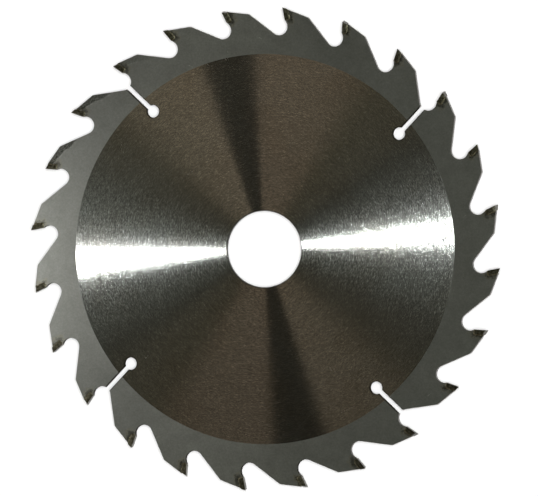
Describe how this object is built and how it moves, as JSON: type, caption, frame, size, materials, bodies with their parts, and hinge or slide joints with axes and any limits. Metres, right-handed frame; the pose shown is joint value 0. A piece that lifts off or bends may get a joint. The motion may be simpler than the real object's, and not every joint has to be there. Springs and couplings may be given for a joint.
{
  "type": "circular saw blade",
  "caption": "Flat round steel disc with forward-leaning, tipped saw teeth, rounded gullets, narrow slots ending in round holes, and a plain central arbor hole.",
  "frame": {"origin": "centre of the arbor bore, on the blade's axis, at half the thickness of the steel", "axes": "+Z along the blade's axis, out of the face on which the teeth point counter-clockwise; +X and +Y in the plane of the disc, with the first tip 10.5 degrees above +X and an expansion slot near 40 degrees"},
  "size_m": [0.1894, 0.1894, 0.003],
  "materials": {
    "plate_steel": "satin",
    "tip_carbide": "satin",
    "braze_alloy": "satin"
  },
  "bodies": {
    "root": {"blade_plate": "plate_steel", "carbide_tip_01": "tip_carbide", "carbide_tip_02": "tip_carbide", "carbide_tip_03": "tip_carbide", "carbide_tip_04": "tip_carbide", "carbide_tip_05": "tip_carbide", "carbide_tip_06": "tip_carbide", "carbide_tip_07": "tip_carbide", "carbide_tip_08": "tip_carbide", "carbide_tip_09": "tip_carbide", "carbide_tip_10": "tip_carbide", "carbide_tip_11": "tip_carbide", "carbide_tip_12": "tip_carbide", "carbide_tip_13": "tip_carbide", "carbide_tip_14": "tip_carbide", "carbide_tip_15": "tip_carbide", "carbide_tip_16": "tip_carbide", "carbide_tip_17": "tip_carbide", "carbide_tip_18": "tip_carbide", "carbide_tip_19": "tip_carbide", "carbide_tip_20": "tip_carbide", "carbide_tip_21": "tip_carbide", "carbide_tip_22": "tip_carbide", "carbide_tip_23": "tip_carbide", "carbide_tip_24": "tip_carbide", "braze_joint_01": "braze_alloy", "braze_joint_02": "braze_alloy", "braze_joint_03": "braze_alloy", "braze_joint_04": "braze_alloy", "braze_joint_05": "braze_alloy", "braze_joint_06": "braze_alloy", "braze_joint_07": "braze_alloy", "braze_joint_08": "braze_alloy", "braze_joint_09": "braze_alloy", "braze_joint_10": "braze_alloy", "braze_joint_11": "braze_alloy", "braze_joint_12": "braze_alloy", "braze_joint_13": "braze_alloy", "braze_joint_14": "braze_alloy", "braze_joint_15": "braze_alloy", "braze_joint_16": "braze_alloy", "braze_joint_17": "braze_alloy", "braze_joint_18": "braze_alloy", "braze_joint_19": "braze_alloy", "braze_joint_20": "braze_alloy", "braze_joint_21": "braze_alloy", "braze_joint_22": "braze_alloy", "braze_joint_23": "braze_alloy", "braze_joint_24": "braze_alloy"}
  },
  "joints": []
}
